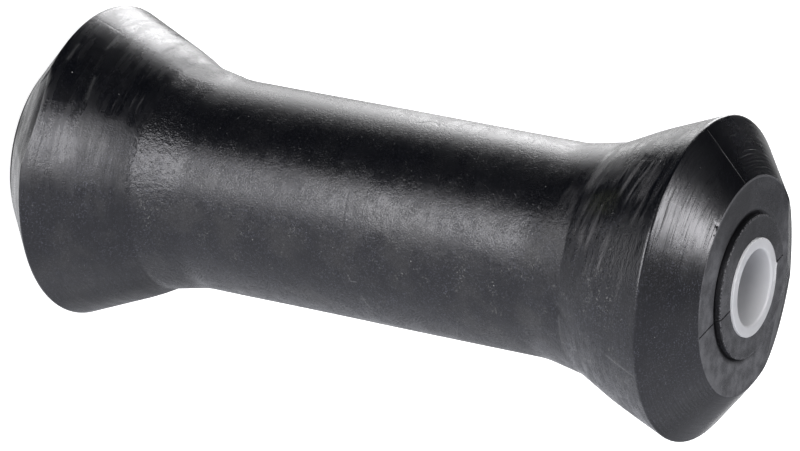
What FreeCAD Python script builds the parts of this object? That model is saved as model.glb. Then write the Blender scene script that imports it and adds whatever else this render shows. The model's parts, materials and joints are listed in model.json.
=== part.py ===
import FreeCAD, Part
import math
import os

# Boat trailer roller: one moulded rubber body on a plastic bush, standing on its end.
#
# The roller is turned about Z. Z = 0 is the lower end of the bush, which the
# roller stands on, and +Z runs along the spindle hole to the upper end.
# Angles are counted about Z from +X towards +Y. All sizes are in millimetres.

# Driving dimensions of the bush
bush_diameter = 25.3
bush_wall = 2.95
bush_stand_out = 0.7        # how far each end of the bush stands past the rubber
bush_edge_radius = 0.25

# Driving dimensions of the rubber body
body_length = 202.0         # from one flat end face to the other
core_diameter = 55.6        # the straight middle that carries the keel
shoulder_length = 11.7      # first, gentle rise from the core
shoulder_rise = 2.3         # how much the shoulder adds to the core's radius
flange_length = 26.7        # second, steeper rise, from a sharp crease to the rim
rim_diameter = 83.2         # to the sharp corner, before the rim's edge is rounded
upper_end_length = 10.8     # end cone, from the rim to the flat end face
lower_end_length = 12.8
upper_face_diameter = 55.8
lower_face_diameter = 53.2
boss_diameter = 36.7        # raised ring round the bush, on each end face
boss_height = 1.1
bush_clearance = 0.03       # between the rubber and the bush, on the radius

# Rounding of the moulded edges
shoulder_blend_radius = 38.0
rim_edge_radius = 0.7
face_edge_radius = 0.35
boss_edge_radius = 0.3

# Two shallow flats, side by side, that were shaved off the upper end
upper_flat_angle = 82.5
upper_flat_chord = 20.7     # distance from the axis to the flat's straight edge on the face
upper_flat_slope = 13.2     # degrees below the end face
side_flat_angle = 110.0
side_flat_chord = 22.8
side_flat_slope = 18.0

# Flat that was shaved off the lower flange, from its face edge across its rim
lower_flat_angle = -106.0
lower_flat_rim_depth = 1.5  # how far above the rim the flat comes out on the flange

# Split across the upper end face
split_angle = -63.0
split_width = 0.3
split_depth = 0.8

# Sizes that follow from the driving dimensions
bush_radius = bush_diameter / 2
bore_radius = bush_radius - bush_wall
core_radius = core_diameter / 2
shoulder_radius = core_radius + shoulder_rise
rim_radius = rim_diameter / 2
upper_face_radius = upper_face_diameter / 2
lower_face_radius = lower_face_diameter / 2
boss_radius = boss_diameter / 2
seat_radius = bush_radius + bush_clearance

# Heights, from the floor up
lower_boss_z = bush_stand_out
lower_face_z = lower_boss_z + boss_height
lower_rim_z = lower_face_z + lower_end_length
lower_crease_z = lower_rim_z + flange_length
lower_core_z = lower_crease_z + shoulder_length
upper_face_z = lower_face_z + body_length
upper_rim_z = upper_face_z - upper_end_length
upper_crease_z = upper_rim_z - flange_length
upper_core_z = upper_crease_z - shoulder_length
upper_boss_z = upper_face_z + boss_height
bush_top_z = upper_boss_z + bush_stand_out

axis_start = FreeCAD.Vector(0, 0, 0)
axis_direction = FreeCAD.Vector(0, 0, 1)
reach = rim_diameter        # longer than any cut into the body needs to be


def turned(outline):
    """Solid of revolution about Z, from (radius, height) corners."""
    corners = [FreeCAD.Vector(radius, 0, height) for radius, height in outline]
    wire = Part.makePolygon(corners + corners[:1])
    return Part.Face(wire).revolve(axis_start, axis_direction, 360)


def ring_edges(solid, radius, height):
    """The round edges of a turned solid at one radius and height."""
    found = []
    for edge in solid.Edges:
        curve = edge.Curve
        if not isinstance(curve, Part.Circle):
            continue
        if abs(curve.Radius - radius) < 1e-4 and abs(curve.Center.z - height) < 1e-4:
            found.append(edge)
    return found


def rounded(solid, edge_radius, rings):
    """Round the edges at the given (radius, height) rings."""
    edges = []
    for radius, height in rings:
        edges.extend(ring_edges(solid, radius, height))
    return solid.makeFillet(edge_radius, edges)


def about_axis(shape, angle):
    """Turn a shape made along +X about Z, to its place on the roller."""
    shape.rotate(axis_start, axis_direction, angle)
    return shape


def slab_beyond(start, through, angle):
    """Block outside a slanted flat, which begins at one (radius, height) point and runs past another."""
    run = through[0] - start[0]
    rise = through[1] - start[1]
    length = math.hypot(run, rise)
    along = (run / length, rise / length)
    outward = (along[1], -along[0]) if rise > 0 else (-along[1], along[0])
    end = (start[0] + reach * along[0], start[1] + reach * along[1])
    corners = [
        start,
        end,
        (end[0] + reach * outward[0], end[1] + reach * outward[1]),
        (start[0] + reach * outward[0], start[1] + reach * outward[1]),
    ]
    points = [FreeCAD.Vector(radius, -reach, height) for radius, height in corners]
    section = Part.Face(Part.makePolygon(points + points[:1]))
    return about_axis(section.extrude(FreeCAD.Vector(0, 2 * reach, 0)), angle)


def split_blade(angle, inner_radius, outer_radius, top_z):
    """Thin block that cuts one stretch of the split, from inner to outer radius."""
    size = (outer_radius - inner_radius, split_width, 2 * split_depth)
    corner = FreeCAD.Vector(inner_radius, -split_width / 2, top_z - split_depth)
    return about_axis(Part.makeBox(*size, corner), angle)


def make_rubber_body():
    """The moulded body: core, shoulders, flanges, end cones, bosses and the bush's seat."""
    outline = [
        (seat_radius, lower_boss_z),
        (boss_radius, lower_boss_z),
        (boss_radius, lower_face_z),
        (lower_face_radius, lower_face_z),
        (rim_radius, lower_rim_z),
        (shoulder_radius, lower_crease_z),
        (core_radius, lower_core_z),
        (core_radius, upper_core_z),
        (shoulder_radius, upper_crease_z),
        (rim_radius, upper_rim_z),
        (upper_face_radius, upper_face_z),
        (boss_radius, upper_face_z),
        (boss_radius, upper_boss_z),
        (seat_radius, upper_boss_z),
    ]
    body = turned(outline)
    core_rings = [(core_radius, lower_core_z), (core_radius, upper_core_z)]
    rim_rings = [(rim_radius, lower_rim_z), (rim_radius, upper_rim_z)]
    face_rings = [(lower_face_radius, lower_face_z), (upper_face_radius, upper_face_z)]
    boss_rings = [(boss_radius, lower_boss_z), (boss_radius, upper_boss_z)]
    body = rounded(body, shoulder_blend_radius, core_rings)
    body = rounded(body, rim_edge_radius, rim_rings)
    body = rounded(body, face_edge_radius, face_rings)
    return rounded(body, boss_edge_radius, boss_rings)


def upper_cutter(angle, chord, slope):
    """Block above one flat on the upper end, from its straight edge outwards."""
    drop = reach * math.tan(math.radians(slope))
    edge = (chord, upper_face_z)
    return slab_beyond(edge, (chord + reach, upper_face_z - drop), angle)


def make_flats():
    """The shaved flats, as the blocks of rubber that they took away."""
    flange_slope = (rim_radius - shoulder_radius) / flange_length
    exit_radius = rim_radius - flange_slope * lower_flat_rim_depth
    lower_exit = (exit_radius, lower_rim_z + lower_flat_rim_depth)
    lower_edge = (lower_face_radius, lower_face_z)
    return [
        upper_cutter(upper_flat_angle, upper_flat_chord, upper_flat_slope),
        upper_cutter(side_flat_angle, side_flat_chord, side_flat_slope),
        slab_beyond(lower_edge, lower_exit, lower_flat_angle),
    ]


def make_split():
    """The hair-line split: across the boss on both sides, and on one side to the cone."""
    opposite = split_angle + 180
    return [
        split_blade(split_angle, bush_radius, boss_radius + split_depth, upper_boss_z),
        split_blade(opposite, bush_radius, boss_radius + split_depth, upper_boss_z),
        split_blade(split_angle, boss_radius, upper_face_radius + split_depth, upper_face_z),
    ]


def make_rubber_roller():
    """The body with its shaved flats and its split."""
    body = make_rubber_body()
    for cutter in make_flats() + make_split():
        body = body.cut(cutter)
    return body.Solids[0]


def make_bush_tube():
    """The plastic bush, one tube from end to end."""
    outline = [
        (bore_radius, 0),
        (bush_radius, 0),
        (bush_radius, bush_top_z),
        (bore_radius, bush_top_z),
    ]
    rings = [(radius, height) for radius, height in outline]
    return rounded(turned(outline), bush_edge_radius, rings)


pieces = {
    "rubber_roller": make_rubber_roller(),
    "bush_tube": make_bush_tube(),
}

os.makedirs("parts", exist_ok=True)
for name, solid in pieces.items():
    solid.exportStep("parts/" + name + ".step")
    box = solid.BoundBox
    print(name, "valid", solid.isValid(), "solids", len(solid.Solids), "volume", round(solid.Volume, 1),
          "x", round(box.XMin, 2), round(box.XMax, 2), "y", round(box.YMin, 2), round(box.YMax, 2),
          "z", round(box.ZMin, 2), round(box.ZMax, 2))
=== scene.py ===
# %% [markdown]
# # A boat trailer roller
# The roller is one thick moulding of black rubber round a white plastic bush. It is narrow in
# the middle, where the boat's keel runs, and flares out to a rim near each end. It stands on
# its lower end here, with the spindle hole upright along Z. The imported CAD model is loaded
# first, as the frame that every visible piece has to fit.

import json
import math

import bmesh
import bpy
from mathutils import Matrix, Vector, geometry, kdtree, noise

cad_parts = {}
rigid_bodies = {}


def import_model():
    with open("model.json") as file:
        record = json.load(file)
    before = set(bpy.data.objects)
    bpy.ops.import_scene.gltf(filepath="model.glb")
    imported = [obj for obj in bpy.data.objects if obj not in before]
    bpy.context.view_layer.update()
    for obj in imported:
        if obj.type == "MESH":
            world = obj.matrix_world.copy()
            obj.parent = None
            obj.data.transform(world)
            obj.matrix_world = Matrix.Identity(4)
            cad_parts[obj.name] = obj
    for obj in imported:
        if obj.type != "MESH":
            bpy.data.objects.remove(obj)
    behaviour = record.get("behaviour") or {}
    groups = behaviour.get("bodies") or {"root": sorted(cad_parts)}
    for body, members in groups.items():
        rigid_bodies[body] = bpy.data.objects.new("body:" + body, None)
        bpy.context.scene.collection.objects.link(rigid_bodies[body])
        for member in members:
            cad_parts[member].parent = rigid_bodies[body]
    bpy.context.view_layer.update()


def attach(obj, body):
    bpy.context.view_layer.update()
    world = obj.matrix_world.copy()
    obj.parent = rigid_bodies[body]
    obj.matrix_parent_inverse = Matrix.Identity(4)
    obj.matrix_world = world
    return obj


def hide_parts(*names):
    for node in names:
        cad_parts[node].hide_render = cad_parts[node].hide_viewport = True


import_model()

# %% [markdown]
# ## Units and directions
# Drawings of turned parts give millimetres, so the meshes are made in millimetres and scaled
# to metres at the end. A place on the roller is given as a distance from the axis, an angle
# about it from +X towards +Y, and a height, because that is how the real one was made.

# %% Helpers for places
MM = 0.001


def on_roller(radius, angle, height):
    """The point at a radius, an angle in degrees and a height, in millimetres."""
    turn = math.radians(angle)
    return Vector((radius * math.cos(turn), radius * math.sin(turn), height))


def outward(angle):
    """The level direction that points away from the axis at an angle in degrees."""
    return on_roller(1, angle, 0)


def angle_of(point):
    """The angle of a point about the axis, in degrees."""
    return math.degrees(math.atan2(point.y, point.x))


def angle_between(first, second):
    """How far apart two angles are, in degrees."""
    return abs((first - second + 180) % 360 - 180)


# %% [markdown]
# ## The camera
# The photograph was taken from some way off with a long lens, looking down on the upper end,
# and the roller lay on its side in it. The roller stands up here, so the camera is rolled
# over instead. Its direction first follows the view with Z up, and the roll comes after.

# %% Camera
CAMERA_PLACE = Vector((-96.79, -1085.64, 668.07)) * MM
CAMERA_AIM = Vector((2.01, 0.32, 104.77)) * MM
CAMERA_ROLL = 101.21         # degrees
CAMERA_LENS = 214.24         # on a sensor 36 mm wide

camera_data = bpy.data.cameras.new("camera")
camera_data.lens = CAMERA_LENS
camera = bpy.data.objects.new("camera", camera_data)
bpy.context.scene.collection.objects.link(camera)
level_view = (CAMERA_AIM - CAMERA_PLACE).to_track_quat("-Z", "Y").to_matrix().to_4x4()
roll = Matrix.Rotation(math.radians(CAMERA_ROLL), 4, "Z")
camera.matrix_world = Matrix.Translation(CAMERA_PLACE) @ level_view @ roll
bpy.context.scene.camera = camera
print("camera distance", round((CAMERA_AIM - CAMERA_PLACE).length, 3), "m")

# %% [markdown]
# ## Nodes in a few words
# Every finish below is a tree of nodes. This helper adds one node, sets its options and fills
# its inputs, each with a plain value or with the output of another node. The rest name the
# few patterns that are used over and over.

# %% Helpers for nodes


def add_node(tree, kind, inputs=None, **options):
    """Add a node, set its options, and give each named input a value or a link."""
    node = tree.nodes.new(kind)
    for name, value in options.items():
        setattr(node, name, value)
    for name, value in (inputs or {}).items():
        socket = node.inputs[name]
        if isinstance(value, bpy.types.NodeSocket):
            tree.links.new(value, socket)
        else:
            socket.default_value = value
    return node


def calculate(tree, operation, first, second=0.0, clamp=False):
    """A sum on one or two numbers, each a value or a link."""
    node = add_node(tree, "ShaderNodeMath", {0: first, 1: second}, operation=operation, use_clamp=clamp)
    return node.outputs[0]


def fade(tree, value, start, end, low=0.0, high=1.0):
    """A smooth step: low up to start, high from end on."""
    node = add_node(
        tree, "ShaderNodeMapRange",
        {"Value": value, "From Min": start, "From Max": end, "To Min": low, "To Max": high},
        interpolation_type="SMOOTHSTEP",
    )
    return node.outputs["Result"]


def blotches(tree, places, size, detail=2.0, stretch=(1, 1, 1), shift=0.0):
    """Noise whose patches are about size millimetres wide, longer where stretch is above 1."""
    spacing = [1 / (size * MM * factor) for factor in stretch]
    placed = add_node(
        tree, "ShaderNodeMapping",
        {"Vector": places, "Scale": spacing, "Location": (shift, shift, shift)},
    )
    node = add_node(
        tree, "ShaderNodeTexNoise",
        {"Vector": placed.outputs["Vector"], "Scale": 1.0, "Detail": detail, "Roughness": 0.55},
    )
    return node.outputs["Fac"]


def blend_colours(tree, amount, first, second):
    """The first colour where amount is 0, and the second where it is 1."""
    node = add_node(
        tree, "ShaderNodeMix", {0: amount, 6: first, 7: second}, data_type="RGBA",
    )
    return node.outputs[2]


def grey(level):
    """A neutral colour."""
    return (level, level, level, 1.0)


# %% [markdown]
# ## Floor and light
# A product photograph like this one has a white ground that takes up the whole picture. The
# floor is a plain pale sheet that also glows a little to the camera alone, so that it turns
# white without putting more light on the rubber, and a faint shadow stays where the roller
# stands. Black rubber shows little but what it mirrors, so the soft boxes are placed where
# the bright bands on it call for them. Some of them lie lower than the floor, because the
# roller stands up here and lay down in the picture, so the floor stops neither light nor
# reflections.

# %% Floor
FLOOR_SIZE = 8.0
FLOOR_WHITE = 0.8
FLOOR_GLOW = 0.86            # what the camera sees on top of the light that falls on it

floor_mesh = bpy.data.meshes.new("floor")
shaping = bmesh.new()
bmesh.ops.create_grid(shaping, x_segments=1, y_segments=1, size=FLOOR_SIZE / 2)
shaping.to_mesh(floor_mesh)
shaping.free()
floor = bpy.data.objects.new("floor", floor_mesh)
bpy.context.scene.collection.objects.link(floor)
floor.visible_glossy = False
floor.visible_shadow = False

floor_finish = bpy.data.materials.new("pale_floor")
floor_finish.use_nodes = True
tree = floor_finish.node_tree
tree.nodes.clear()
ray = add_node(tree, "ShaderNodeLightPath")
paper = add_node(tree, "ShaderNodeBsdfDiffuse", {"Color": grey(FLOOR_WHITE)})
seen = calculate(tree, "MULTIPLY", ray.outputs["Is Camera Ray"], FLOOR_GLOW)
glow = add_node(tree, "ShaderNodeEmission", {"Color": grey(1.0), "Strength": seen})
both = add_node(tree, "ShaderNodeAddShader", {0: paper.outputs[0], 1: glow.outputs[0]})
add_node(tree, "ShaderNodeOutputMaterial", {"Surface": both.outputs[0]})
floor_mesh.materials.append(floor_finish)

# %% Surroundings
world = bpy.data.worlds.new("studio")
bpy.context.scene.world = world
world.use_nodes = True
tree = world.node_tree
tree.nodes.clear()
direction = add_node(tree, "ShaderNodeTexCoord").outputs["Generated"]
towards = add_node(tree, "ShaderNodeSeparateXYZ", {0: direction}).outputs
side = add_node(
    tree, "ShaderNodeMapRange", {"Value": towards["X"], "From Min": -1.0, "From Max": 1.0},
).outputs["Result"]
ramp = add_node(tree, "ShaderNodeValToRGB", {"Fac": side})
steps = ramp.color_ramp
COOL = (0.95, 0.965, 1.03, 1)    # dim daylight is a little blue
WALL_LEVELS = ((0.40, 0.02), (0.46, 0.05), (0.54, 0.34), (0.62, 0.74), (0.725, 1.05))
steps.elements[0].position, level = WALL_LEVELS[0]
steps.elements[0].color = grey(level)
steps.elements[1].position, level = WALL_LEVELS[-1]
steps.elements[1].color = grey(level)
for position, level in WALL_LEVELS[1:-1]:
    steps.elements.new(position).color = grey(level)
corner = fade(tree, towards["Y"], 0.2, 0.6)
corner = calculate(tree, "MULTIPLY", corner, fade(tree, towards["Z"], -0.49, -0.38))
corner = calculate(tree, "MULTIPLY", corner, fade(tree, towards["Z"], 0.5, 0.3, 0.0, 0.6))
wall = blend_colours(tree, corner, ramp.outputs["Color"], grey(0.05))
wall = add_node(
    tree, "ShaderNodeMix", {0: 1.0, 6: wall, 7: COOL}, data_type="RGBA", blend_type="MULTIPLY",
).outputs[2]
ray = add_node(tree, "ShaderNodeLightPath")
shown = blend_colours(tree, ray.outputs["Is Camera Ray"], wall, grey(1.0))
back = add_node(tree, "ShaderNodeBackground", {"Color": shown, "Strength": 1.0})
add_node(tree, "ShaderNodeOutputWorld", {"Surface": back.outputs[0]})

# %% Soft boxes
MIDDLE = Vector((0, 0, 103.8)) * MM


def soft_box(name, towards, distance, width, height, brightness):
    """A flat lamp that faces the roller. Its brightness is that of its lit sheet, where white is 1."""
    lamp = bpy.data.lights.new(name, "AREA")
    lamp.shape = "RECTANGLE"
    lamp.size = width
    lamp.size_y = height
    lamp.energy = brightness * math.pi * width * height
    holder = bpy.data.objects.new(name, lamp)
    away = Vector(towards).normalized()
    place = MIDDLE + away * distance
    holder.matrix_world = Matrix.Translation(place) @ away.to_track_quat("Z", "Y").to_matrix().to_4x4()
    bpy.context.scene.collection.objects.link(holder)
    return holder


soft_box("front_box", (-0.17, -0.98, -0.10), 2.0, 1.20, 2.00, 8.4)
soft_box("front_box_low", (-0.12, -0.60, -0.80), 2.2, 1.30, 0.95, 2.3)
soft_box("end_box", (-0.37, -0.08, 0.925), 2.0, 0.66, 0.66, 17.5)
soft_box("back_box", (-0.69, 0.72, -0.10), 2.0, 1.30, 0.62, 7.5)
soft_box("back_box_near", (-0.64, 0.68, -0.32), 0.9, 0.54, 0.26, 4.8)
soft_box("back_box_low", (-0.59, 0.63, -0.52), 0.9, 0.54, 0.24, 2.0)
soft_box("side_panel", (-0.02, 0.97, -0.25), 0.55, 0.40, 0.30, 0.9)
soft_box("rear_panel", (0.08, 0.86, 0.50), 2.0, 1.00, 1.00, 0.25)
soft_box("back_side_box", (-0.87, 0.42, -0.22), 2.0, 0.85, 1.60, 0.8)
soft_box("under_panel", (0.0, 0.54, -0.84), 1.2, 0.60, 0.44, 1.0)
soft_box("back_box_under", (-0.32, 0.66, -0.68), 0.9, 0.40, 0.34, 1.2)

# %% [markdown]
# ## The rubber body's outline
# The body came out of a mould, and its shape is a turned one: half of its outline is enough.
# The outline is a loop of straight lines between named sizes. Vertex bevel rounds a corner as
# a mould's radius does. A close pair of points beside each corner keeps the smooth shading of
# the corner from spreading over the long faces next to it.

# %% Sizes of the rubber body
SEAT_RADIUS = 12.68          # the hole that the bush sits in
BOSS_RADIUS = 18.35
LOWER_FACE_RADIUS = 26.6
UPPER_FACE_RADIUS = 27.9
RIM_RADIUS = 41.65
SHOULDER_RADIUS = 30.1
CORE_RADIUS = 27.8
GROOVE_WIDTH = 1.7           # the face dips to a groove round the raised ring
GROOVE_DEPTH = 0.75

LOWER_BOSS = 0.7             # heights
LOWER_FACE = 1.8
LOWER_RIM = 14.6
LOWER_CREASE = 41.3
LOWER_CORE = 53.0
UPPER_CORE = 154.6
UPPER_CREASE = 166.3
UPPER_RIM = 193.0
UPPER_FACE = 203.8
UPPER_BOSS = 204.9
BUSH_TOP = 205.6

# radius, height, and the radius of the corner's rounding, or none where it is crisp
BODY_CORNERS = (
    (SEAT_RADIUS, LOWER_BOSS, None),
    (BOSS_RADIUS, LOWER_BOSS, 0.28),
    (BOSS_RADIUS - 0.08, LOWER_FACE + GROOVE_DEPTH, None),
    (BOSS_RADIUS + GROOVE_WIDTH, LOWER_FACE, 1.6),
    (LOWER_FACE_RADIUS, LOWER_FACE, 0.35),
    (RIM_RADIUS, LOWER_RIM, 0.8),
    (33.7, 34.3, 70.0),      # both flanges bend a little on their way to the crease
    (SHOULDER_RADIUS, LOWER_CREASE, None),
    (CORE_RADIUS, LOWER_CORE, 24.0),
    (CORE_RADIUS, UPPER_CORE, 24.0),
    (SHOULDER_RADIUS, UPPER_CREASE, None),
    (35.4, 177.3, 70.0),
    (RIM_RADIUS, UPPER_RIM, 0.7),
    (UPPER_FACE_RADIUS, UPPER_FACE, 0.35),
    (BOSS_RADIUS + GROOVE_WIDTH, UPPER_FACE, 1.6),
    (BOSS_RADIUS - 0.08, UPPER_FACE - GROOVE_DEPTH, None),
    (BOSS_RADIUS, UPPER_BOSS, 0.28),
    (SEAT_RADIUS, UPPER_BOSS, None),
)

# %% Helpers for turned outlines
ARC_SEGMENTS = 5
GUARD = 0.3                  # distance of the extra point beside a corner
SPACING = 2.2                # between rings on long faces


def draw_outline(mesh, corners):
    """A closed loop through (radius, height, rounding) corners, with the round ones rounded."""
    points = [mesh.verts.new((radius, 0, height)) for radius, height, rounding in corners]
    for first, second in zip(points, points[1:] + points[:1]):
        mesh.edges.new((first, second))
    for point, (radius, height, rounding) in zip(points, corners):
        if rounding:
            round_corner(mesh, point, rounding)


def round_corner(mesh, point, rounding):
    """Turn a corner of the outline into an arc."""
    first, second = [edge.other_vert(point).co - point.co for edge in point.link_edges]
    cut_back = rounding / math.tan(first.angle(second) / 2)
    bmesh.ops.bevel(
        mesh, geom=[point], offset=cut_back, offset_type="OFFSET", affect="VERTICES",
        segments=ARC_SEGMENTS, profile=0.5, material=-1,
    )


def add_rings(mesh, longest_plain):
    """Guard points beside the corners, then even points along each long line."""
    for edge in [edge for edge in mesh.edges if GUARD * 4 < edge.calc_length() < longest_plain]:
        first, second = edge.verts
        halves = (edge, bmesh.utils.edge_split(edge, first, GUARD / edge.calc_length())[0])
        longer = max(halves, key=lambda half: half.calc_length())
        bmesh.utils.edge_split(longer, second, GUARD / longer.calc_length())
    for edge in [edge for edge in mesh.edges if SPACING * 1.5 < edge.calc_length() < longest_plain]:
        cuts = round(edge.calc_length() / SPACING) - 1
        bmesh.ops.subdivide_edges(mesh, edges=[edge], cuts=cuts)


def spin_outline(mesh, steps):
    """Turn the outline once round the axis and close it."""
    bmesh.ops.spin(
        mesh, geom=mesh.verts[:] + mesh.edges[:], cent=(0, 0, 0), axis=(0, 0, 1),
        angle=math.tau, steps=steps, use_merge=True,
    )
    bmesh.ops.recalc_face_normals(mesh, faces=mesh.faces)


# %% Turn the rubber body
BODY_STEPS = 200
body = bmesh.new()
draw_outline(body, BODY_CORNERS)
add_rings(body, longest_plain=150)
spin_outline(body, BODY_STEPS)
print("turned body:", len(body.verts), "points,", len(body.faces), "faces")
print("its volume:", round(body.calc_volume()), "cubic millimetres")

# %% [markdown]
# ## Places where the skin is worn, and a painted highlight
# Thin ridges, torn lips and scratches are greyer than the rubber round them. Each point of the
# mesh carries a number for that, which the steps below paint where they change the shape, and
# which the material reads. Along the lower flat's lip this grey is also a painted highlight.

# %% Wear
wear_and_highlight = body.verts.layers.float.new("wear_and_highlight")


def with_parts(faces):
    """Faces together with their edges and points, as the cutting operators want them."""
    parts = set(faces)
    parts.update(edge for face in faces for edge in face.edges)
    parts.update(point for face in faces for point in face.verts)
    return list(parts)


# %% [markdown]
# ## Shaved flats
# Someone trimmed the flared ends with a knife: two shallow flats side by side on the upper
# end with a smaller one next to them, and a bite out of the lower rim. A bisect_plane that
# clears nothing draws the border of the cut on the skin, and the points beyond it are then
# pushed straight down onto the plane. That keeps the small faces of the skin, so the flat can
# be worked on further.

# %% Helper for knife cuts


def shave(mesh, place, facing, allowed, cuts):
    """Slice off what lies beyond a plane near some faces. Returns the border and the flat's points."""
    region = [face for face in mesh.faces if allowed(face.calc_center_median())]
    if cuts:
        edges = {edge for face in region for edge in face.edges}
        bmesh.ops.subdivide_edges(mesh, edges=list(edges), cuts=cuts, use_grid_fill=True)
        region = [face for face in mesh.faces if allowed(face.calc_center_median())]
    bmesh.ops.bisect_plane(mesh, geom=with_parts(region), dist=1e-5, plane_co=place, plane_no=facing)
    region = [face for face in mesh.faces if allowed(face.calc_center_median())]
    border = []
    flat = []
    for point in {point for face in region for point in face.verts}:
        beyond = (point.co - place).dot(facing)
        if abs(beyond) < 1e-4:
            border.append(point)
        elif beyond > 0:
            flat.append(point)
            point.co -= facing * beyond
    return border, flat


# %% Upper flats
def shave_upper_end(mesh, angle, chord, slope):
    """A shallow flat from a straight edge on the face outwards."""
    tilt = math.radians(slope)
    across = outward(angle)
    facing = across * math.sin(tilt) + Vector((0, 0, math.cos(tilt)))
    place = on_roller(chord, angle, UPPER_FACE)

    def near_flat(middle):
        return middle.z > UPPER_RIM - 6 and middle.dot(across) > chord - 2

    border, flat = shave(mesh, place, facing, near_flat, 0)
    print("upper flat at", angle, "degrees:", len(flat), "points pushed down")


shave_upper_end(body, 82.5, 20.7, 13.2)
shave_upper_end(body, 110.0, 22.8, 18.0)
shave_upper_end(body, 140.0, 26.3, 15.0)

# %% [markdown]
# The lower flat isn't a true plane. The knife dug in at the flange and left a hollow with a
# steep wall there, and a low lip of torn rubber beside it. Both follow the distance from the
# border, which a kd-tree finds quickly for each point. At its end the cut runs out softly, so
# smooth_vert evens the points there.

# %% Lower flat
LOWER_FLAT_ANGLE = -106.0
LOWER_FLAT_EXIT = (40.95, 16.1)
HOLLOW_DEPTH = 0.75
HOLLOW_WIDTH = 1.5
HOLLOW_ANGLE = -108.0        # where the knife dug in deepest
HOLLOW_SPREAD = 15.0
LIP_HEIGHT = 0.06
LIP_WIDTH = 0.35
LIP_WEAR_AND_HIGHLIGHT = 0.25
RUN_OUT_ANGLE = -92          # where the cut runs out softly
RUN_OUT_SPREAD = 9
RUN_OUT_ROUNDS = 15

rise = Vector((LOWER_FLAT_EXIT[0] - LOWER_FACE_RADIUS, LOWER_FLAT_EXIT[1] - LOWER_FACE)).normalized()
place = on_roller(LOWER_FACE_RADIUS, LOWER_FLAT_ANGLE, LOWER_FACE)
facing = outward(LOWER_FLAT_ANGLE) * rise.y
facing.z = -rise.x


def near_lower_flat(middle):
    """The part of the lower end that the knife reached."""
    return 6 < middle.z < LOWER_RIM + 5 and angle_between(angle_of(middle), LOWER_FLAT_ANGLE) < 30


border, flat = shave(body, place, facing, near_lower_flat, 2)
flange_border = [point.co.copy() for point in border if point.co.z > LOWER_RIM - 0.3]
border_tree = kdtree.KDTree(len(flange_border))
for number, spot in enumerate(flange_border):
    border_tree.insert(spot, number)
border_tree.balance()
for point in flat:
    off_border = border_tree.find(point.co)[2] / HOLLOW_WIDTH
    bite = math.exp(-(angle_between(angle_of(point.co), HOLLOW_ANGLE) / HOLLOW_SPREAD) ** 2)
    point.co -= facing * HOLLOW_DEPTH * bite * off_border * math.exp(1 - off_border)
soft = [
    point for point in body.verts
    if 6.5 < point.co.z < LOWER_RIM - 0.3
    and angle_between(angle_of(point.co), RUN_OUT_ANGLE) < RUN_OUT_SPREAD
]
for smoothing in range(RUN_OUT_ROUNDS):
    bmesh.ops.smooth_vert(body, verts=soft, factor=0.5, use_axis_x=True, use_axis_y=True, use_axis_z=True)
body.normal_update()
# The lip beside the border is raised a little and painted grey: wear of torn rubber, and a painted
# highlight along the lip.
cut_points = set(flat)
for point in body.verts:
    if near_lower_flat(point.co) and point.co.z > LOWER_RIM - 0.3 and point not in cut_points:
        near_border = math.exp(-(border_tree.find(point.co)[2] / LIP_WIDTH) ** 2)
        point.co += point.normal * LIP_HEIGHT * near_border
        point[wear_and_highlight] = LIP_WEAR_AND_HIGHLIGHT * near_border
print("lower flat:", len(flat), "points pushed down,", len(flange_border), "on the flange's border")

# %% [markdown]
# ## A soft, uneven skin
# Rubber shrinks unevenly as it cools, so no face of it is quite true. Smooth noise moves each
# point of the skin a little along its normal: enough to bend a highlight, too little to change
# a size.

# %% Uneven skin
LONG_WAVE, LONG_WAVE_HEIGHT = 42, 0.11
SHORT_WAVE, SHORT_WAVE_HEIGHT = 17, 0.035


def skin_wave(place):
    """How far the skin stands out at a place, in millimetres."""
    slow = noise.noise(place / LONG_WAVE)
    quick = noise.noise(place / SHORT_WAVE + Vector((7, 3, 5)))
    return LONG_WAVE_HEIGHT * slow + SHORT_WAVE_HEIGHT * quick


body.normal_update()
for point in body.verts:
    distance = math.hypot(point.co.x, point.co.y)
    settle = min(1, max(0, (distance - SEAT_RADIUS) / 4))
    point.co += point.normal * skin_wave(point.co) * settle
print("uneven skin on", len(body.verts), "points")

# %% [markdown]
# ## The mould's parting line
# Two halves of a mould meet along the roller, and a thin fin of rubber is squeezed out there.
# It still stands on the end cone. On the flared sides it was torn off and left a faint groove,
# and the keel has rubbed the core smooth. Two cuts beside a middle one make room for a narrow
# line, and only the middle row of points is moved.

# %% Parting line
LINE_WIDTH = 0.34


def parting_line(mesh, angle, low, high, rise, wear):
    """A thin ridge along the roller between two heights, or a groove where rise is negative."""
    across = outward(angle + 90)
    strip = [
        face for face in mesh.faces
        if angle_between(angle_of(face.calc_center_median()), angle) < 2
        and low < face.calc_center_median().z < high
        and face.calc_center_median().xy.length > BOSS_RADIUS + 8
    ]
    for offset in (-LINE_WIDTH / 2, LINE_WIDTH / 2, 0):
        cut = bmesh.ops.bisect_plane(
            mesh, geom=with_parts(strip), dist=1e-5, plane_co=across * offset, plane_no=across,
        )
        strip = [item for item in cut["geom"] if isinstance(item, bmesh.types.BMFace)]
    middle = [item for item in cut["geom_cut"] if isinstance(item, bmesh.types.BMVert)]
    mesh.normal_update()
    for point in middle:
        share = 0.7 + 0.6 * noise.noise(point.co / 3)
        point.co += point.normal * rise * share
        point[wear_and_highlight] = max(point[wear_and_highlight], wear * share)
    return len(middle)


PARTING_ANGLE = -156.0
count = 0
for angle in (PARTING_ANGLE, PARTING_ANGLE + 180):
    count += parting_line(body, angle, UPPER_RIM + 0.6, UPPER_FACE - 0.4, 0.08, 0.30)
    count += parting_line(body, angle, UPPER_CREASE + 8, UPPER_RIM - 1.2, -0.05, 0.0)
    count += parting_line(body, angle, LOWER_RIM + 1.2, LOWER_RIM + 9, -0.03, 0.0)
print("parting line:", count, "moved points")

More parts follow.
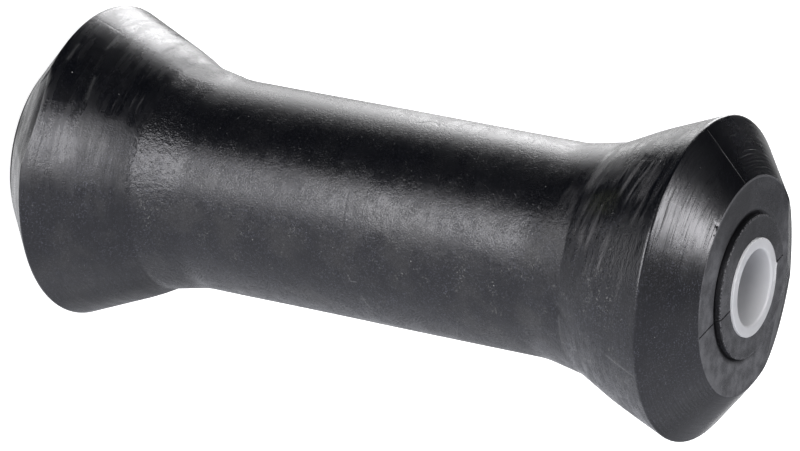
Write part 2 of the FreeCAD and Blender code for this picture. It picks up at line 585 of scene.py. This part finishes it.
# %% [markdown]
# ## Scratches, nicks and torn spots
# A used roller is marked all over. Each mark is a line of places on the skin. The faces along it
# are split until they are finer than the line, and the points near it are raised or sunk, so
# the mark is a real shape. A raised, worn line reads as a pale scratch, and a sunk one as dark.

# %% Helpers for marks


def trace(route):
    """Points along a route of (radius, angle, height) places, close enough to follow the skin."""
    points = []
    for first, second in zip(route, route[1:]):
        steps = max(1, math.ceil(abs(second[1] - first[1]) / 2))
        for step in range(steps):
            points.append(on_roller(*(a + (b - a) * step / steps for a, b in zip(first, second))))
    points.append(on_roller(*route[-1]))
    return points


def off_line(place, line):
    """The shortest way from a line of points to a place."""
    ways = []
    for first, second in zip(line, line[1:]):
        nearest, part = geometry.intersect_point_line(place, first, second)
        nearest = first if part < 0 else second if part > 1 else nearest
        ways.append(place - nearest)
    return min(ways, key=lambda way: way.length)


MOST_SPLITS = 3              # how often the faces along a mark are split
FINEST_EDGE = 0.7            # how long their edges may stay, in widths of the mark


def mark(mesh, route, width, height, wear=0.0):
    """Raise a fine ridge, or sink a groove where height is negative, along a route."""
    line = trace(route)
    middle = sum(line, Vector()) / len(line)
    reach = max((point - middle).length for point in line) + 4 * width + 2
    for splitting in range(MOST_SPLITS):
        near = [point for point in mesh.verts if (point.co - middle).length < reach]
        long_edges = []
        for edge in {edge for point in near for edge in point.link_edges}:
            length = edge.calc_length()
            halfway = (edge.verts[0].co + edge.verts[1].co) / 2
            beside = off_line(halfway, line).length < length / 2 + width * 1.5
            if length > width * FINEST_EDGE and beside:
                long_edges.append(edge)
        if not long_edges:
            break
        long_edges.sort(key=lambda edge: edge.index)
        bmesh.ops.subdivide_edges(mesh, edges=long_edges, cuts=1, use_grid_fill=True)
        mesh.edges.index_update()
    mesh.normal_update()
    moves = []
    for point in mesh.verts:
        if (point.co - middle).length < reach:
            way = off_line(point.co, line)
            sideways = (way - point.normal * way.dot(point.normal)).length
            share = math.exp(-(sideways / width) ** 2)
            if share > 0.02 and way.length < width * 3 + 0.6:
                moves.append((point, point.normal * height * share, wear * share))
    for point, move, wear_and_highlight_share in moves:
        point.co += move
        if wear:
            point[wear_and_highlight] = max(point[wear_and_highlight], wear_and_highlight_share)
    return len(moves)


# %% Marks on the core
RING_MARKS = (
    [(27.8, -104.0, 102.9), (27.8, -94.0, 103.0), (27.8, -84.0, 103.2)],
    [(27.8, -103.0, 108.2), (27.8, -91.0, 107.9)],
    [(27.8, -72.0, 101.2), (27.8, -60.0, 101.8), (27.8, -44.0, 103.6)],
)
count = 0
for ring in RING_MARKS:
    count += mark(body, ring, 0.17, -0.05)
TORN_GATE = [(27.8, -156.6, 111.4), (27.8, -160.5, 113.2), (27.8, -161.4, 115.2), (27.8, -158.0, 116.8)]
count += mark(body, TORN_GATE, 0.28, -0.06)
PALE_TICKS = (
    [(27.8, -96.7, 68.9), (27.8, -92.2, 68.1)],
    [(27.8, -106.9, 139.1), (27.8, -108.3, 140.1), (27.8, -110.4, 140.6)],
    [(27.8, -57.9, 104.6), (27.8, -54.2, 105.1), (27.8, -54.3, 106.7)],
    [(27.8, -44.8, 107.4), (27.8, -40.0, 107.9), (27.8, -32.9, 109.1)],
)
for tick in PALE_TICKS:
    count += mark(body, tick, 0.09, 0.03, wear=0.4)
print("marks on the core:", count, "moved points")

# %% Marks on the flared ends
KNIFE_LINE = [
    (39.6, -98.6, 18.8), (39.9, -94.5, 18.2), (40.0, -89.0, 18.0), (39.9, -82.0, 18.2), (39.8, -74.8, 18.4),
]
count = mark(body, KNIFE_LINE, 0.14, -0.025)
FAINT_STREAKS = (
    [(40.3, -139.0, 17.3), (40.4, -131.0, 17.1)],
    [(37.7, -151.0, 23.7), (37.6, -143.0, 23.5)],
    [(36.9, -128.0, 25.2), (36.6, -118.0, 25.8)],
)
for streak in FAINT_STREAKS:
    count += mark(body, streak, 0.34, 0.012, wear=0.07)
FLANGE_LINE = [(37.6, -57.0, 182.9), (39.5, -55.6, 187.6), (41.4, -54.5, 192.2)]
count += mark(body, FLANGE_LINE, 0.26, 0.05, wear=0.18)
EDGE_NICK = [(28.20, -121.6, 203.5), (28.0, -121.4, 203.7)]
count += mark(body, EDGE_NICK, 0.26, -0.22)
CREASE_LIP = [(30.15, -62.0, 166.4), (30.15, -45.0, 166.2), (30.15, -24.0, 166.2)]
count += mark(body, CREASE_LIP, 0.40, 0.10, wear=0.08)
CREASE_DENT = [(29.7, -68.0, 164.6), (30.2, -65.0, 167.0)]
count += mark(body, CREASE_DENT, 1.30, -0.30)
print("marks on the flared ends:", count, "moved points")

# %% [markdown]
# ## The split in the upper end
# The rubber has cracked from the bush out to the edge on one side, and across the raised ring
# on the other. Two cuts side by side leave a hair-line strip of faces, and the strip is
# extruded and let down into the rubber. Its two lips wander a little, as a tear does.

# %% Split
SPLIT_ANGLE = -63.0
SPLIT_WIDTH = 0.50
SPLIT_DEPTH = 1.1
SPLIT_WANDER = 0.16


def open_split(mesh, angle, reach):
    """Sink a hair-line strip across the upper end, from the bush out to a radius."""
    across = outward(angle + 90)
    strip = [
        face for face in mesh.faces
        if face.calc_center_median().z > UPPER_FACE - GROOVE_DEPTH - 0.3
        and SEAT_RADIUS < face.calc_center_median().xy.length < reach
        and face.calc_center_median().dot(outward(angle)) > 0
        and abs(face.calc_center_median().dot(across)) < 1.6
    ]
    for offset in (-SPLIT_WIDTH / 2, SPLIT_WIDTH / 2):
        cut = bmesh.ops.bisect_plane(
            mesh, geom=with_parts(strip), dist=1e-5, plane_co=across * offset, plane_no=across,
        )
        strip = [item for item in cut["geom"] if isinstance(item, bmesh.types.BMFace)]
    strip = [face for face in strip if abs(face.calc_center_median().dot(across)) < SPLIT_WIDTH / 2]
    for point in {point for face in strip for point in face.verts}:
        point.co += across * SPLIT_WANDER * noise.noise(point.co / 1.7)
    sunk = bmesh.ops.extrude_face_region(mesh, geom=strip)["geom"]
    bmesh.ops.delete(mesh, geom=strip, context="FACES")
    floor_points = [item for item in sunk if isinstance(item, bmesh.types.BMVert)]
    bmesh.ops.translate(mesh, verts=floor_points, vec=(0, 0, -SPLIT_DEPTH))
    return len(floor_points)


count = open_split(body, SPLIT_ANGLE, UPPER_FACE_RADIUS)
count += open_split(body, SPLIT_ANGLE + 180, BOSS_RADIUS + 0.5)
print("split:", count, "sunk points")

# %% Finish the rubber body's mesh
SHARP = math.radians(32)


def finish_piece(mesh, name, body_name, node):
    """Scale a mesh to metres and make it a piece that stands for its CAD node."""
    bmesh.ops.scale(mesh, vec=(MM, MM, MM), verts=mesh.verts)
    bmesh.ops.recalc_face_normals(mesh, faces=mesh.faces)
    open_edges = sum(not edge.is_manifold for edge in mesh.edges)
    data = bpy.data.meshes.new(name)
    mesh.to_mesh(data)
    mesh.free()
    data.shade_smooth()
    data.set_sharp_from_angle(angle=SHARP)
    piece = bpy.data.objects.new(name, data)
    bpy.context.scene.collection.objects.link(piece)
    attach(piece, body_name)
    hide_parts(node)
    triangles = sum(len(face.vertices) - 2 for face in data.polygons)
    print(name, "triangles", triangles, "open edges", open_edges)
    return piece


rubber_piece = finish_piece(body, "moulded_rubber", "root", "rubber_roller")

# %% [markdown]
# ## The bush
# A cut length of nylon tube lines the spindle hole. Its ends stand just past the rubber. It is
# turned the same way, with small rounded edges. The saw left one corner trimmed and a curl of
# burr on the end, which is raised like the knife lines on the rubber.

# %% Bush
BUSH_RADIUS = 12.65
BORE_RADIUS = 9.7
BUSH_CORNERS = (
    (BORE_RADIUS, 0.0, 0.3),
    (BUSH_RADIUS, 0.0, 0.25),
    (BUSH_RADIUS, BUSH_TOP, 0.25),
    (BORE_RADIUS, BUSH_TOP, 0.55),
)
BUSH_STEPS = 128
tube = bmesh.new()
draw_outline(tube, BUSH_CORNERS)
add_rings(tube, longest_plain=150)
spin_outline(tube, BUSH_STEPS)
trim = outward(-172)
border, flat = shave(
    tube, on_roller(12.2, -172, BUSH_TOP), (trim + Vector((0, 0, 0.7))).normalized(),
    lambda middle: middle.z > BUSH_TOP - 2, 0,
)
print("bush: trimmed corner,", len(flat), "points")

BURR = [(12.35, 120.0, BUSH_TOP), (11.6, 113.0, BUSH_TOP), (11.3, 99.0, BUSH_TOP)]
print("burr on the bush:", mark(tube, BURR, 0.16, 0.36), "points raised")

bush_piece = finish_piece(tube, "nylon_bush", "root", "bush_tube")

# %% [markdown]
# ## Black rubber
# Moulded rubber is nearly black, and what shows is its satin skin: a fine grain like felt, pores
# and soft unevenness. The flared ends are brushed in rings, so streaks run round the roller
# there. Every pattern is a height in millimetres, they are all added up, and one Bump node turns
# the sum into shading. Along the top the skin was rubbed smoother, so the patterns are calmer.

# %% Places on the rubber
rubber_finish = bpy.data.materials.new("black_rubber")
rubber_finish.use_nodes = True
tree = rubber_finish.node_tree
tree.nodes.clear()
places = add_node(tree, "ShaderNodeTexCoord").outputs["Object"]
axes = add_node(tree, "ShaderNodeSeparateXYZ", {0: places}).outputs
height = calculate(tree, "DIVIDE", axes["Z"], MM)
turn = calculate(tree, "DEGREES", calculate(tree, "ARCTAN2", axes["Y"], axes["X"]))


def around(tree, angle, wide, soft):
    """1 within wide degrees of an angle about the axis, fading out over soft degrees."""
    apart = calculate(tree, "SUBTRACT", turn, angle)
    folded = add_node(tree, "ShaderNodeMath", {0: apart, 1: 180.0, 2: -180.0}, operation="WRAP")
    apart = calculate(tree, "ABSOLUTE", folded.outputs[0])
    return fade(tree, apart, wide + soft, wide)


def between(tree, low, high, soft):
    """1 between two heights, fading out over soft millimetres."""
    above = fade(tree, height, low - soft, low)
    below = fade(tree, height, high + soft, high)
    return calculate(tree, "MULTIPLY", above, below)


# %% Zones of the rubber
level_place = add_node(tree, "ShaderNodeCombineXYZ", {"X": axes["X"], "Y": axes["Y"]}).outputs[0]
off_axis = add_node(tree, "ShaderNodeVectorMath", {0: level_place}, operation="LENGTH").outputs["Value"]
radius = calculate(tree, "DIVIDE", off_axis, MM)

upper_flare = fade(tree, height, UPPER_CREASE - 9, UPPER_CREASE + 3)
lower_flare = fade(tree, height, LOWER_CREASE + 1, LOWER_CREASE - 1)
end_cone = fade(tree, height, UPPER_RIM - 0.2, UPPER_RIM + 0.2)
end_face = fade(tree, height, UPPER_FACE - 0.25, UPPER_FACE - 0.1)
flares = calculate(tree, "ADD", upper_flare, lower_flare)
flares = calculate(tree, "SUBTRACT", flares, end_cone, clamp=True)
cone_only = calculate(tree, "SUBTRACT", end_cone, end_face, clamp=True)
off_cone = calculate(tree, "SUBTRACT", 1.0, calculate(tree, "MULTIPLY", cone_only, 0.9))
lower_shoulder = between(tree, LOWER_CREASE + 0.3, LOWER_CORE - 3, 4)
upper_shoulder = between(tree, UPPER_CORE, UPPER_CREASE - 2, 5)
shoulders = calculate(tree, "ADD", lower_shoulder, calculate(tree, "MULTIPLY", upper_shoulder, 0.6))

# painted shade: films and pale specks are mostly left off a strip along the roller's upper
# front, where the rubber mirrors little light, and off the upper flared side beside its rim, so
# both are painted darker; the patterns there are calmer too, as if wiped clean
shade_beside_rim = calculate(tree, "MULTIPLY", fade(tree, height, UPPER_CREASE + 7, UPPER_RIM - 5), fade(
    tree, height, UPPER_RIM + 0.2, UPPER_RIM - 0.2,
))
shade_beside_rim = calculate(tree, "MULTIPLY", shade_beside_rim, around(tree, -118.0, 22, 18))
wiped_and_painted_shade = calculate(tree, "MAXIMUM", around(tree, -137.0, 20, 16), shade_beside_rim)
wiped_and_painted_shade = calculate(tree, "SUBTRACT", 1.0, calculate(tree, "MULTIPLY", wiped_and_painted_shade, 0.85))

# a band that the keel has polished, which ends at one of the ring marks
rubbed_band = calculate(tree, "MULTIPLY", fade(tree, height, 107.8, 108.8), fade(tree, height, 126, 110))
rubbed_band = calculate(tree, "MULTIPLY", rubbed_band, around(tree, -96.0, 6, 20))

# the ragged edge of the lower flat
ragged = calculate(tree, "MULTIPLY", fade(tree, height, LOWER_FACE + 2.2, LOWER_FACE + 1.2), around(
    tree, LOWER_FLAT_ANGLE, 34, 8,
))

# %% Relief of the rubber


def relief(tree, pattern, depth, amount=1.0):
    """A pattern from 0 to 1 as a height in millimetres, about its middle."""
    centred = calculate(tree, "SUBTRACT", pattern, 0.5)
    scaled = calculate(tree, "MULTIPLY", centred, depth)
    return calculate(tree, "MULTIPLY", scaled, amount)


def dots(tree, places, spacing, radius, soft):
    """Scattered round dots: 1 inside each, and 0 between them. Sizes in millimetres."""
    cells = add_node(
        tree, "ShaderNodeTexVoronoi", {"Vector": places, "Scale": 1 / (spacing * MM), "Randomness": 1.0},
    )
    return fade(tree, cells.outputs["Distance"], radius / spacing, (radius - soft) / spacing)


fine = blotches(tree, places, 0.38, detail=1.0)
rough_patches = fade(tree, blotches(tree, places, 3.5, detail=3.0, shift=15.0), 0.36, 0.62, 0.7, 1.6)
skin_only = calculate(tree, "SUBTRACT", off_cone, calculate(tree, "MULTIPLY", lower_flare, 0.45))
felt = relief(tree, fine, 0.058, calculate(tree, "MULTIPLY", skin_only, rough_patches))
coarse = relief(tree, blotches(tree, places, 1.3, detail=3.0, shift=13.0), 0.19, shoulders)
calm_top = fade(tree, around(tree, -170.0, 32, 12), 0.0, 1.0, 1.0, 0.3)
coarse = calculate(tree, "MULTIPLY", coarse, calm_top)
grain = relief(tree, blotches(tree, places, 1.1, detail=1.0, shift=3.0), 0.026, off_cone)
leather = relief(tree, blotches(tree, places, 6.0, detail=2.0, shift=5.0), 0.060, calm_top)
hair_lines = relief(tree, blotches(tree, places, 0.5, detail=1.5, stretch=(14, 14, 1)), 0.030, flares)
calm_flares = calculate(tree, "MULTIPLY", flares, calm_top)
brushing = relief(tree, blotches(tree, places, 2.4, detail=1.0, stretch=(5, 5, 1)), 0.050, calm_flares)
sweeps = blotches(tree, places, 3.0, detail=3.0, stretch=(9, 9, 1), shift=6.0)
sweeps = relief(tree, sweeps, 0.100, calculate(tree, "MULTIPLY", calm_flares, wiped_and_painted_shade))
turning = relief(tree, blotches(tree, places, 0.36, detail=1.5, stretch=(40, 40, 1)), 0.110, cone_only)
rubbing = relief(tree, blotches(tree, places, 0.5, detail=1.0, stretch=(10, 10, 1)), 0.035, rubbed_band)
pores = fade(tree, flares, 0.0, 1.0, -0.05, -0.01)
pores = calculate(tree, "MULTIPLY", dots(tree, places, 3.4, 0.26, 0.2), pores)
pits = calculate(tree, "MULTIPLY", dots(tree, places, 0.95, 0.27, 0.25), -0.055)
pitted = fade(tree, blotches(tree, places, 5.0, detail=2.0, shift=2.0), 0.34, 0.56)
pits = calculate(tree, "MULTIPLY", pits, pitted)
brushed_parts = calculate(tree, "ADD", flares, cone_only)
pits = calculate(tree, "MULTIPLY", pits, fade(tree, brushed_parts, 0.0, 1.0, 1.0, 0.12))
heights = 0.0
for part in (felt, coarse, grain, leather, hair_lines, brushing, sweeps, turning, rubbing, pores, pits):
    heights = calculate(tree, "ADD", part, heights)
bumps = add_node(tree, "ShaderNodeBump", {"Strength": 1.0, "Distance": MM, "Height": heights})

# %% [markdown]
# ## Gloss and colour of the rubber
# The skin is glossier where the mould was polished and duller where hands and the keel rubbed
# it. The end face was cut and not moulded, so it is matt and holds dust. The dust is left out of
# the groove round the raised ring, and out of a wider crescent on one side of it, as painted
# shadow. On the flared sides a grey film is smeared out in arcs, which run a little aslant on the
# upper one, as a wiping hand leaves them.

# %% Gloss of the rubber
gloss = fade(tree, blotches(tree, places, 14.0, detail=3.0), 0.3, 0.7, 0.23, 0.28)
peppered = fade(tree, blotches(tree, places, 0.30, detail=3.0, shift=21.0), 0.40, 0.66)
peppered = calculate(tree, "ADD", peppered, dots(tree, places, 0.70, 0.28, 0.20))
peppered = calculate(tree, "MULTIPLY", peppered, calculate(tree, "MULTIPLY", skin_only, rough_patches))
peppered = calculate(tree, "MULTIPLY", peppered, wiped_and_painted_shade)
gloss = calculate(tree, "ADD", gloss, calculate(tree, "MULTIPLY", peppered, 0.15))
crease_top = calculate(tree, "MULTIPLY", around(tree, 180.0, 16, 12), between(
    tree, LOWER_CREASE - 6, LOWER_CREASE + 5, 6,
))
gloss = calculate(tree, "ADD", gloss, calculate(tree, "MULTIPLY", crease_top, 0.15))
dull_crease = calculate(tree, "MULTIPLY", around(tree, -98.0, 10, 8), between(
    tree, LOWER_CREASE - 13, LOWER_CREASE - 3, 4,
))
gloss = calculate(tree, "ADD", gloss, calculate(tree, "MULTIPLY", dull_crease, 0.16))
streaky = blotches(tree, places, 1.6, detail=2.0, stretch=(6, 6, 1), shift=4.0)
streaky = fade(tree, streaky, 0.3, 0.7, -0.07, 0.07)
gloss = calculate(tree, "ADD", gloss, calculate(tree, "MULTIPLY", streaky, calculate(
    tree, "SUBTRACT", flares, calculate(tree, "MULTIPLY", lower_flare, 0.25),
)))
gloss = calculate(tree, "SUBTRACT", gloss, calculate(tree, "MULTIPLY", rubbed_band, 0.07))
gloss = calculate(tree, "SUBTRACT", gloss, calculate(tree, "MULTIPLY", shade_beside_rim, 0.05))
in_groove = calculate(tree, "MULTIPLY", fade(tree, radius, BOSS_RADIUS + 2, BOSS_RADIUS + 1.5), fade(
    tree, height, UPPER_FACE - 3, UPPER_FACE - 2.5,
))
cut_face = calculate(tree, "MAXIMUM", end_face, in_groove)
gloss = calculate(tree, "ADD", gloss, calculate(tree, "MULTIPLY", cut_face, 0.22))
gloss = calculate(tree, "ADD", gloss, calculate(tree, "MULTIPLY", cone_only, 0.02))
gloss = calculate(tree, "ADD", gloss, calculate(tree, "MULTIPLY", ragged, 0.6), clamp=True)
# wear on ridges and scratches, and along the lower flat's lip a painted highlight
wear_and_highlight_share = add_node(tree, "ShaderNodeAttribute", attribute_name="wear_and_highlight").outputs["Fac"]
gloss = calculate(tree, "ADD", gloss, calculate(tree, "MULTIPLY", wear_and_highlight_share, 0.15))

# %% Films of dirt and dust
slant = calculate(tree, "ADD", axes["Z"], calculate(tree, "MULTIPLY", axes["X"], 0.20))
slanted = add_node(tree, "ShaderNodeCombineXYZ", {"X": axes["X"], "Y": axes["Y"], "Z": slant}).outputs[0]
arcs = fade(tree, blotches(tree, slanted, 1.3, detail=4.0, stretch=(12, 12, 1), shift=2.0), 0.44, 0.68)
arcs = calculate(tree, "MULTIPLY", arcs, calculate(tree, "SUBTRACT", upper_flare, end_cone))
thin_arcs = blotches(tree, places, 0.7, detail=2.0, stretch=(11, 11, 1), shift=7.0)
thin_arcs = fade(tree, thin_arcs, 0.58, 0.76)
thin_arcs = calculate(tree, "MULTIPLY", thin_arcs, flares)
arcs = calculate(tree, "ADD", arcs, calculate(tree, "MULTIPLY", thin_arcs, 0.35), clamp=True)
arcs = calculate(tree, "MULTIPLY", arcs, fade(tree, blotches(tree, places, 12.0, detail=1.0), 0.38, 0.62))
arcs = calculate(tree, "MULTIPLY", arcs, around(tree, -112.0, 20, 20))
arcs = calculate(tree, "MULTIPLY", arcs, fade(tree, height, UPPER_RIM - 2, UPPER_RIM - 9, 0.3, 1.0))
core_film = fade(tree, blotches(tree, places, 11.0, detail=6.0, shift=4.0), 0.44, 0.66, 0.0, 0.55)
core_film = calculate(tree, "MULTIPLY", core_film, fade(tree, upper_flare, 0.0, 1.0, 1.0, 0.4))
core_film = calculate(tree, "MULTIPLY", core_film, wiped_and_painted_shade)
clusters = fade(tree, blotches(tree, places, 0.45, detail=1.0, shift=1.0), 0.58, 0.70)
handled = calculate(tree, "MULTIPLY", around(tree, -81.0, 6, 9), between(tree, 177, 184, 4))
handled = calculate(tree, "MULTIPLY", handled, fade(
    tree, blotches(tree, places, 2.0, shift=11.0), 0.40, 0.60,
))
clusters = calculate(tree, "MULTIPLY", clusters, calculate(tree, "MAXIMUM", handled, fade(
    tree, blotches(tree, places, 5.0, shift=11.0), 0.54, 0.70,
)))
clusters = calculate(tree, "MULTIPLY", clusters, calculate(tree, "SUBTRACT", wiped_and_painted_shade, end_cone, clamp=True))
core_side = calculate(tree, "SUBTRACT", around(tree, -55.0, 35, 15), lower_flare, clamp=True)
clusters = calculate(tree, "MULTIPLY", clusters, calculate(tree, "MAXIMUM", upper_flare, core_side))
core_film = calculate(tree, "MULTIPLY", core_film, fade(tree, fine, 0.30, 0.66, 0.35, 1.0))
arcs = calculate(tree, "MULTIPLY", arcs, fade(tree, fine, 0.30, 0.66, 0.6, 1.0))
olive = calculate(tree, "MULTIPLY", around(tree, -118.0, 3, 5), between(tree, 173, 177, 5))
olive = calculate(tree, "MULTIPLY", olive, fade(tree, fine, 0.40, 0.65))
# Painted shadow: dust is kept out of the groove round the raised ring, and further out on the side at -105
# degrees, so a dark crescent lies beside the ring.
shadow_side = calculate(tree, "MULTIPLY", around(tree, -105.0, 45, 45), 0.4)
clear_of_painted_shadow = calculate(tree, "SUBTRACT", radius, shadow_side)
clear_of_painted_shadow = fade(tree, clear_of_painted_shadow, BOSS_RADIUS + 0.3, BOSS_RADIUS + 1.6)
on_ring = fade(tree, radius, BOSS_RADIUS - 0.1, BOSS_RADIUS - 0.5, 0.0, 0.75)
dust_with_painted_light = fade(tree, blotches(tree, places, 3.6, detail=6.0, shift=9.0), 0.34, 0.68, 0.42, 1.0)
dust_with_painted_light = calculate(tree, "MULTIPLY", dust_with_painted_light, calculate(tree, "ADD", clear_of_painted_shadow, on_ring, clamp=True))
dust_with_painted_light = calculate(tree, "MULTIPLY", dust_with_painted_light, fade(tree, height, UPPER_FACE - 3.5, UPPER_FACE - 0.1))
dust_with_painted_light = calculate(tree, "MULTIPLY", dust_with_painted_light, fade(tree, radius, UPPER_FACE_RADIUS + 0.3, UPPER_FACE_RADIUS))
# The face is also made darker towards the side at -170 degrees.
dust_with_painted_light = calculate(tree, "MULTIPLY", dust_with_painted_light, calculate(tree, "SUBTRACT", 1.0, calculate(
    tree, "MULTIPLY", around(tree, -170.0, 40, 35), 0.75,
)))
# Painted highlights in the dust colour: a pale speckled line round the raised ring's rounded edge, and a
# pale line along the face's rim on one side.
ring_edge_highlight = calculate(tree, "MULTIPLY", fade(tree, radius, 17.7, 18.0), fade(tree, radius, 18.4, 18.3))
ring_edge_highlight = calculate(tree, "MULTIPLY", ring_edge_highlight, fade(tree, height, UPPER_BOSS - 0.5, UPPER_BOSS - 0.3))
ring_edge_highlight = calculate(tree, "MULTIPLY", ring_edge_highlight, fade(tree, blotches(tree, places, 0.5), 0.45, 0.62))
face_edge_highlight = calculate(tree, "MULTIPLY", fade(tree, radius, 27.5, 27.7), end_face)
face_edge_highlight = calculate(tree, "MULTIPLY", face_edge_highlight, around(tree, -165.0, 45, 20))
dust_with_painted_light = calculate(tree, "MAXIMUM", dust_with_painted_light, calculate(tree, "MAXIMUM", ring_edge_highlight, calculate(
    tree, "MULTIPLY", face_edge_highlight, 0.6,
)))

# %% Colour of the rubber
FRESH = (0.0008, 0.0010, 0.0018, 1)
FADED = (0.0380, 0.0395, 0.0510, 1)
FILM = (0.0245, 0.0238, 0.0230, 1)
SMEAR = (0.0440, 0.0430, 0.0450, 1)
CLUSTER = (0.085, 0.085, 0.082, 1)
OLIVE = (0.016, 0.017, 0.010, 1)
# grey of dust, also used for the painted highlights on the ring's and the face's edges
DUST_AND_HIGHLIGHT_GREY = (0.100, 0.100, 0.107, 1)
# grey of wear, and of the painted highlight along the lower flat's lip
WEAR_AND_HIGHLIGHT_GREY = (0.22, 0.22, 0.22, 1)
SPECK = (0.20, 0.20, 0.20, 1)

speckled = calculate(tree, "MULTIPLY", fade(tree, fine, 0.55, 0.72), fade(
    tree, blotches(tree, places, 9.0, detail=2.0), 0.30, 0.70, 0.45, 1.0,
))
speckled = calculate(tree, "MULTIPLY", speckled, wiped_and_painted_shade)
skin = blend_colours(tree, speckled, FRESH, FADED)
skin = blend_colours(tree, core_film, skin, FILM)
skin = blend_colours(tree, arcs, skin, SMEAR)
skin = blend_colours(tree, clusters, skin, CLUSTER)
skin = blend_colours(tree, calculate(tree, "MULTIPLY", olive, 0.6), skin, OLIVE)
skin = blend_colours(tree, dust_with_painted_light, skin, DUST_AND_HIGHLIGHT_GREY)
skin = blend_colours(tree, wear_and_highlight_share, skin, WEAR_AND_HIGHLIGHT_GREY)
fine_specks = calculate(tree, "MULTIPLY", dots(tree, places, 3.1, 0.17, 0.12), 0.6)
large_specks = dots(tree, places, 8.3, 0.24, 0.14)
face_specks = calculate(tree, "MULTIPLY", dots(tree, places, 1.6, 0.20, 0.12), end_face)
fine_specks = calculate(tree, "MAXIMUM", fine_specks, calculate(tree, "MULTIPLY", face_specks, 0.35))
skin = blend_colours(tree, calculate(tree, "MAXIMUM", fine_specks, large_specks), skin, SPECK)
rubber = add_node(
    tree, "ShaderNodeBsdfPrincipled",
    {"Base Color": skin, "Roughness": gloss, "IOR": 1.5, "Specular Tint": (0.965, 0.955, 1.0, 1),
     "Normal": bumps.outputs[0]},
)
add_node(tree, "ShaderNodeOutputMaterial", {"Surface": rubber.outputs[0]})
rubber_piece.data.materials.append(rubber_finish)

# %% [markdown]
# ## White nylon
# The bush is cut from a drawn nylon tube. Nylon is a little see-through, so light spreads in it
# before it comes out again, and the saw left a faint grain on its end.

# %% White nylon
nylon_finish = bpy.data.materials.new("white_nylon")
nylon_finish.use_nodes = True
tree = nylon_finish.node_tree
tree.nodes.clear()
places = add_node(tree, "ShaderNodeTexCoord").outputs["Object"]
sawn = relief(tree, blotches(tree, places, 0.6, detail=2.0, stretch=(8, 1, 1)), 0.03)
cloudy = fade(tree, blotches(tree, places, 5.0, detail=2.0), 0.3, 0.7)
MILKY_DARK = (0.46, 0.46, 0.475, 1)
MILKY_PALE = (0.50, 0.50, 0.515, 1)
MILKY_LIT_END = (0.60, 0.60, 0.615, 1)
milky = blend_colours(tree, cloudy, MILKY_DARK, MILKY_PALE)
deep = add_node(tree, "ShaderNodeSeparateXYZ", {0: places}).outputs["Z"]
deep = calculate(tree, "DIVIDE", deep, MM)
# painted light: the bore's wall is paler near its open end and darker deeper in
lit_near_end = calculate(tree, "MULTIPLY", fade(tree, deep, BUSH_TOP - 9, BUSH_TOP - 0.6), fade(
    tree, deep, BUSH_TOP, BUSH_TOP - 0.5,
))
milky = blend_colours(tree, lit_near_end, milky, MILKY_LIT_END)
bumps = add_node(tree, "ShaderNodeBump", {"Strength": 1.0, "Distance": MM, "Height": sawn})
nylon = add_node(
    tree, "ShaderNodeBsdfPrincipled",
    {"Base Color": milky, "Roughness": 0.42, "IOR": 1.53, "Normal": bumps.outputs[0],
     "Subsurface Weight": 0.4, "Subsurface Scale": 0.004, "Subsurface Radius": (1.0, 1.0, 1.0)},
)
add_node(tree, "ShaderNodeOutputMaterial", {"Surface": nylon.outputs[0]})
bush_piece.data.materials.append(nylon_finish)

# %% [markdown]
# ## Colours
# The colours are shown as they are, without a film look, so that the black stays black.

# %% Finish
bpy.context.scene.view_settings.view_transform = "Standard"
